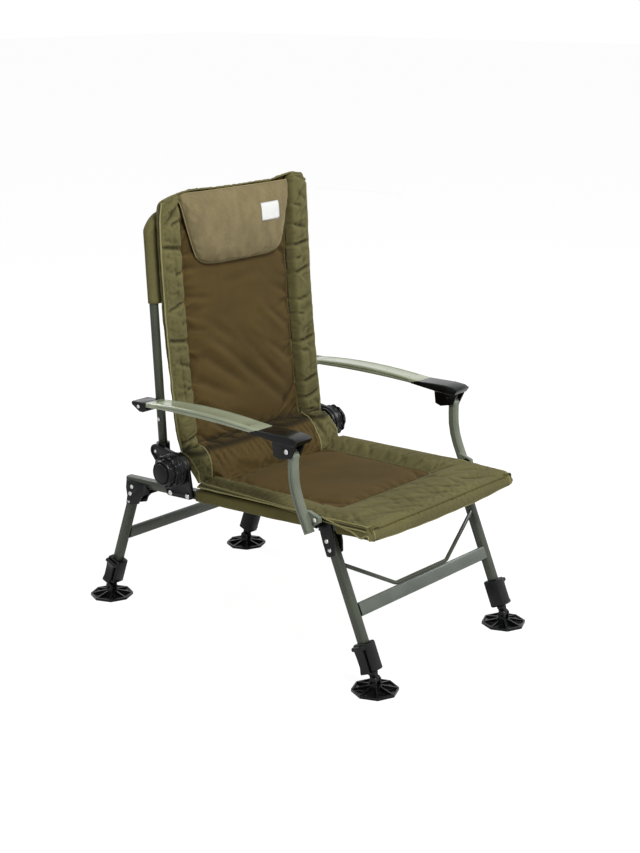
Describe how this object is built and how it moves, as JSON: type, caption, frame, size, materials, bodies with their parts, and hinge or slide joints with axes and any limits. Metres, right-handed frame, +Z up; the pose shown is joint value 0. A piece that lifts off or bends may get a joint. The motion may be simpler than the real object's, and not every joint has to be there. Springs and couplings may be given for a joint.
{
  "type": "folding and stacking chairs and stools",
  "caption": "Folding outdoor angling chair with padded reclining back, head pillow, linked armrests and extending clamped legs on swivelling mud feet",
  "frame": {"origin": "on the floor, midway between the front and rear feet and between the two sides", "axes": "+Z up, the sitter faces -Y, +X is the sitter's left"},
  "size_m": [0.602, 0.902, 0.967],
  "materials": {
    "frame_paint": "satin powder coat, grey green",
    "bar_paint": "satin powder coat, lighter grey green",
    "arm_paint": "semi-gloss light grey green",
    "black_plastic": "moulded black nylon, satin",
    "rivet_steel": "zinc plated, bright",
    "seat_cloth": "brown woven polyester over foam",
    "cover_cloth": "olive woven polyester",
    "pillow_plush": "khaki brushed plush"
  },
  "bodies": {
    "seat_frame": {"rail_left": "frame_paint", "rail_right": "frame_paint", "front_leg_bracket_left": "black_plastic", "front_leg_bracket_right": "black_plastic", "rear_leg_bracket_left": "black_plastic", "rear_leg_bracket_right": "black_plastic", "front_leg_pin_left": "rivet_steel", "front_leg_pin_right": "rivet_steel", "rear_leg_pin_left": "rivet_steel", "rear_leg_pin_right": "rivet_steel", "lower_hinge_casting_left": "black_plastic", "lower_hinge_casting_right": "black_plastic", "post_bracket_left": "black_plastic", "post_bracket_right": "black_plastic", "front_cross_tube": "frame_paint", "rear_cross_tube": "frame_paint", "seat_sling": "cover_cloth", "seat_pad": "seat_cloth"},
    "front_legs": {"front_leg_left": "frame_paint", "front_leg_right": "frame_paint", "front_clamp_left": "black_plastic", "front_clamp_right": "black_plastic", "front_crossbar": "bar_paint", "front_brace_rod": "frame_paint"},
    "rear_legs": {"rear_leg_left": "frame_paint", "rear_leg_right": "frame_paint", "rear_clamp_left": "black_plastic", "rear_clamp_right": "black_plastic", "rear_crossbar": "bar_paint"},
    "backrest": {"back_tube_left": "frame_paint", "back_tube_right": "frame_paint", "upper_hinge_casting_left": "black_plastic", "upper_hinge_casting_right": "black_plastic", "back_top_bow": "frame_paint", "back_hood": "cover_cloth", "back_cushion": "cover_cloth", "head_pillow": "pillow_plush", "lumbar_roll": "cover_cloth"},
    "arm_left": {"armrest_left": "arm_paint", "arm_front_cap_left": "black_plastic", "arm_rear_cap_left": "black_plastic"},
    "post_left": {"arm_post_left": "arm_paint"},
    "knob_left": {"recline_knob_left": "black_plastic"},
    "arm_right": {"armrest_right": "arm_paint", "arm_front_cap_right": "black_plastic", "arm_rear_cap_right": "black_plastic"},
    "post_right": {"arm_post_right": "arm_paint"},
    "knob_right": {"recline_knob_right": "black_plastic"},
    "front_extension_left": {"front_leg_extension_left": "rivet_steel"},
    "front_foot_left": {"front_foot_left": "black_plastic"},
    "front_lever_left": {"front_clamp_lever_left": "black_plastic"},
    "front_extension_right": {"front_leg_extension_right": "rivet_steel"},
    "front_foot_right": {"front_foot_right": "black_plastic"},
    "front_lever_right": {"front_clamp_lever_right": "black_plastic"},
    "rear_extension_left": {"rear_leg_extension_left": "rivet_steel"},
    "rear_foot_left": {"rear_foot_left": "black_plastic"},
    "rear_lever_left": {"rear_clamp_lever_left": "black_plastic"},
    "rear_extension_right": {"rear_leg_extension_right": "rivet_steel"},
    "rear_foot_right": {"rear_foot_right": "black_plastic"},
    "rear_lever_right": {"rear_clamp_lever_right": "black_plastic"}
  },
  "joints": [
    {"name": "front_leg_fold", "type": "hinge", "parent": "seat_frame", "child": "front_legs", "pos_m": [0, -0.282, 0.30098], "axis": [1, 0, 0], "range_deg": [0, 100]},
    {"name": "rear_leg_fold", "type": "hinge", "parent": "seat_frame", "child": "rear_legs", "pos_m": [0, 0.3085, 0.27593], "axis": [1, 0, 0], "range_deg": [-100, 0]},
    {"name": "back_recline", "type": "hinge", "parent": "seat_frame", "child": "backrest", "pos_m": [0, 0.1485, 0.36946], "axis": [1, 0, 0], "range_deg": [-35, 75], "deforming": ["lumbar_roll"]},
    {"name": "arm_swing_left", "type": "hinge", "parent": "backrest", "child": "arm_left", "pos_m": [0.271, 0.2115, 0.50746], "axis": [1, 0, 0], "range_deg": [-75, 35]},
    {"name": "post_swing_left", "type": "hinge", "parent": "seat_frame", "child": "post_left", "pos_m": [0.275, -0.2705, 0.35036], "axis": [1, 0, 0], "range_deg": [-35, 75]},
    {"name": "knob_turn_left", "type": "hinge", "parent": "seat_frame", "child": "knob_left", "pos_m": [0.2625, 0.1485, 0.36946], "axis": [1, 0, 0], "range_deg": [0, 360]},
    {"name": "arm_swing_right", "type": "hinge", "parent": "backrest", "child": "arm_right", "pos_m": [-0.271, 0.2115, 0.50746], "axis": [1, 0, 0], "range_deg": [-75, 35]},
    {"name": "post_swing_right", "type": "hinge", "parent": "seat_frame", "child": "post_right", "pos_m": [-0.275, -0.2705, 0.35036], "axis": [1, 0, 0], "range_deg": [-35, 75]},
    {"name": "knob_turn_right", "type": "hinge", "parent": "seat_frame", "child": "knob_right", "pos_m": [-0.2625, 0.1485, 0.36946], "axis": [-1, 0, 0], "range_deg": [0, 360]},
    {"name": "front_slide_left", "type": "slide", "parent": "front_legs", "child": "front_extension_left", "axis": [0, -0.3947, -0.9188], "range_m": [0, 0.09]},
    {"name": "front_foot_swivel_left", "type": "hinge", "parent": "front_extension_left", "child": "front_foot_left", "pos_m": [0.232, -0.401, 0.024], "axis": [1, 0, 0], "range_deg": [-25, 25]},
    {"name": "front_lever_flip_left", "type": "hinge", "parent": "front_legs", "child": "front_lever_left", "pos_m": [0.2529, -0.37218, 0.09107], "axis": [0, -0.9188, 0.3947], "range_deg": [0, 110]},
    {"name": "front_slide_right", "type": "slide", "parent": "front_legs", "child": "front_extension_right", "axis": [0, -0.3947, -0.9188], "range_m": [0, 0.09]},
    {"name": "front_foot_swivel_right", "type": "hinge", "parent": "front_extension_right", "child": "front_foot_right", "pos_m": [-0.232, -0.401, 0.024], "axis": [1, 0, 0], "range_deg": [-25, 25]},
    {"name": "front_lever_flip_right", "type": "hinge", "parent": "front_legs", "child": "front_lever_right", "pos_m": [-0.2529, -0.37218, 0.09107], "axis": [0, 0.9188, -0.3947], "range_deg": [0, 110]},
    {"name": "rear_slide_left", "type": "slide", "parent": "rear_legs", "child": "rear_extension_left", "axis": [0, 0.3447, -0.9387], "range_m": [0, 0.09]},
    {"name": "rear_foot_swivel_left", "type": "hinge", "parent": "rear_extension_left", "child": "rear_foot_left", "pos_m": [0.232, 0.401, 0.024], "axis": [1, 0, 0], "range_deg": [-25, 25]},
    {"name": "rear_lever_flip_left", "type": "hinge", "parent": "rear_legs", "child": "rear_lever_left", "pos_m": [0.2529, 0.37584, 0.09253], "axis": [0, -0.9387, -0.3447], "range_deg": [0, 110]},
    {"name": "rear_slide_right", "type": "slide", "parent": "rear_legs", "child": "rear_extension_right", "axis": [0, 0.3447, -0.9387], "range_m": [0, 0.09]},
    {"name": "rear_foot_swivel_right", "type": "hinge", "parent": "rear_extension_right", "child": "rear_foot_right", "pos_m": [-0.232, 0.401, 0.024], "axis": [1, 0, 0], "range_deg": [-25, 25]},
    {"name": "rear_lever_flip_right", "type": "hinge", "parent": "rear_legs", "child": "rear_lever_right", "pos_m": [-0.2529, 0.37584, 0.09253], "axis": [0, 0.9387, 0.3447], "range_deg": [0, 110]}
  ],
  "couplings": [
    {"joint": "arm_swing_left", "follows": "back_recline", "ratio": -1},
    {"joint": "post_swing_left", "follows": "back_recline", "ratio": 1},
    {"joint": "arm_swing_right", "follows": "back_recline", "ratio": -1},
    {"joint": "post_swing_right", "follows": "back_recline", "ratio": 1}
  ]
}
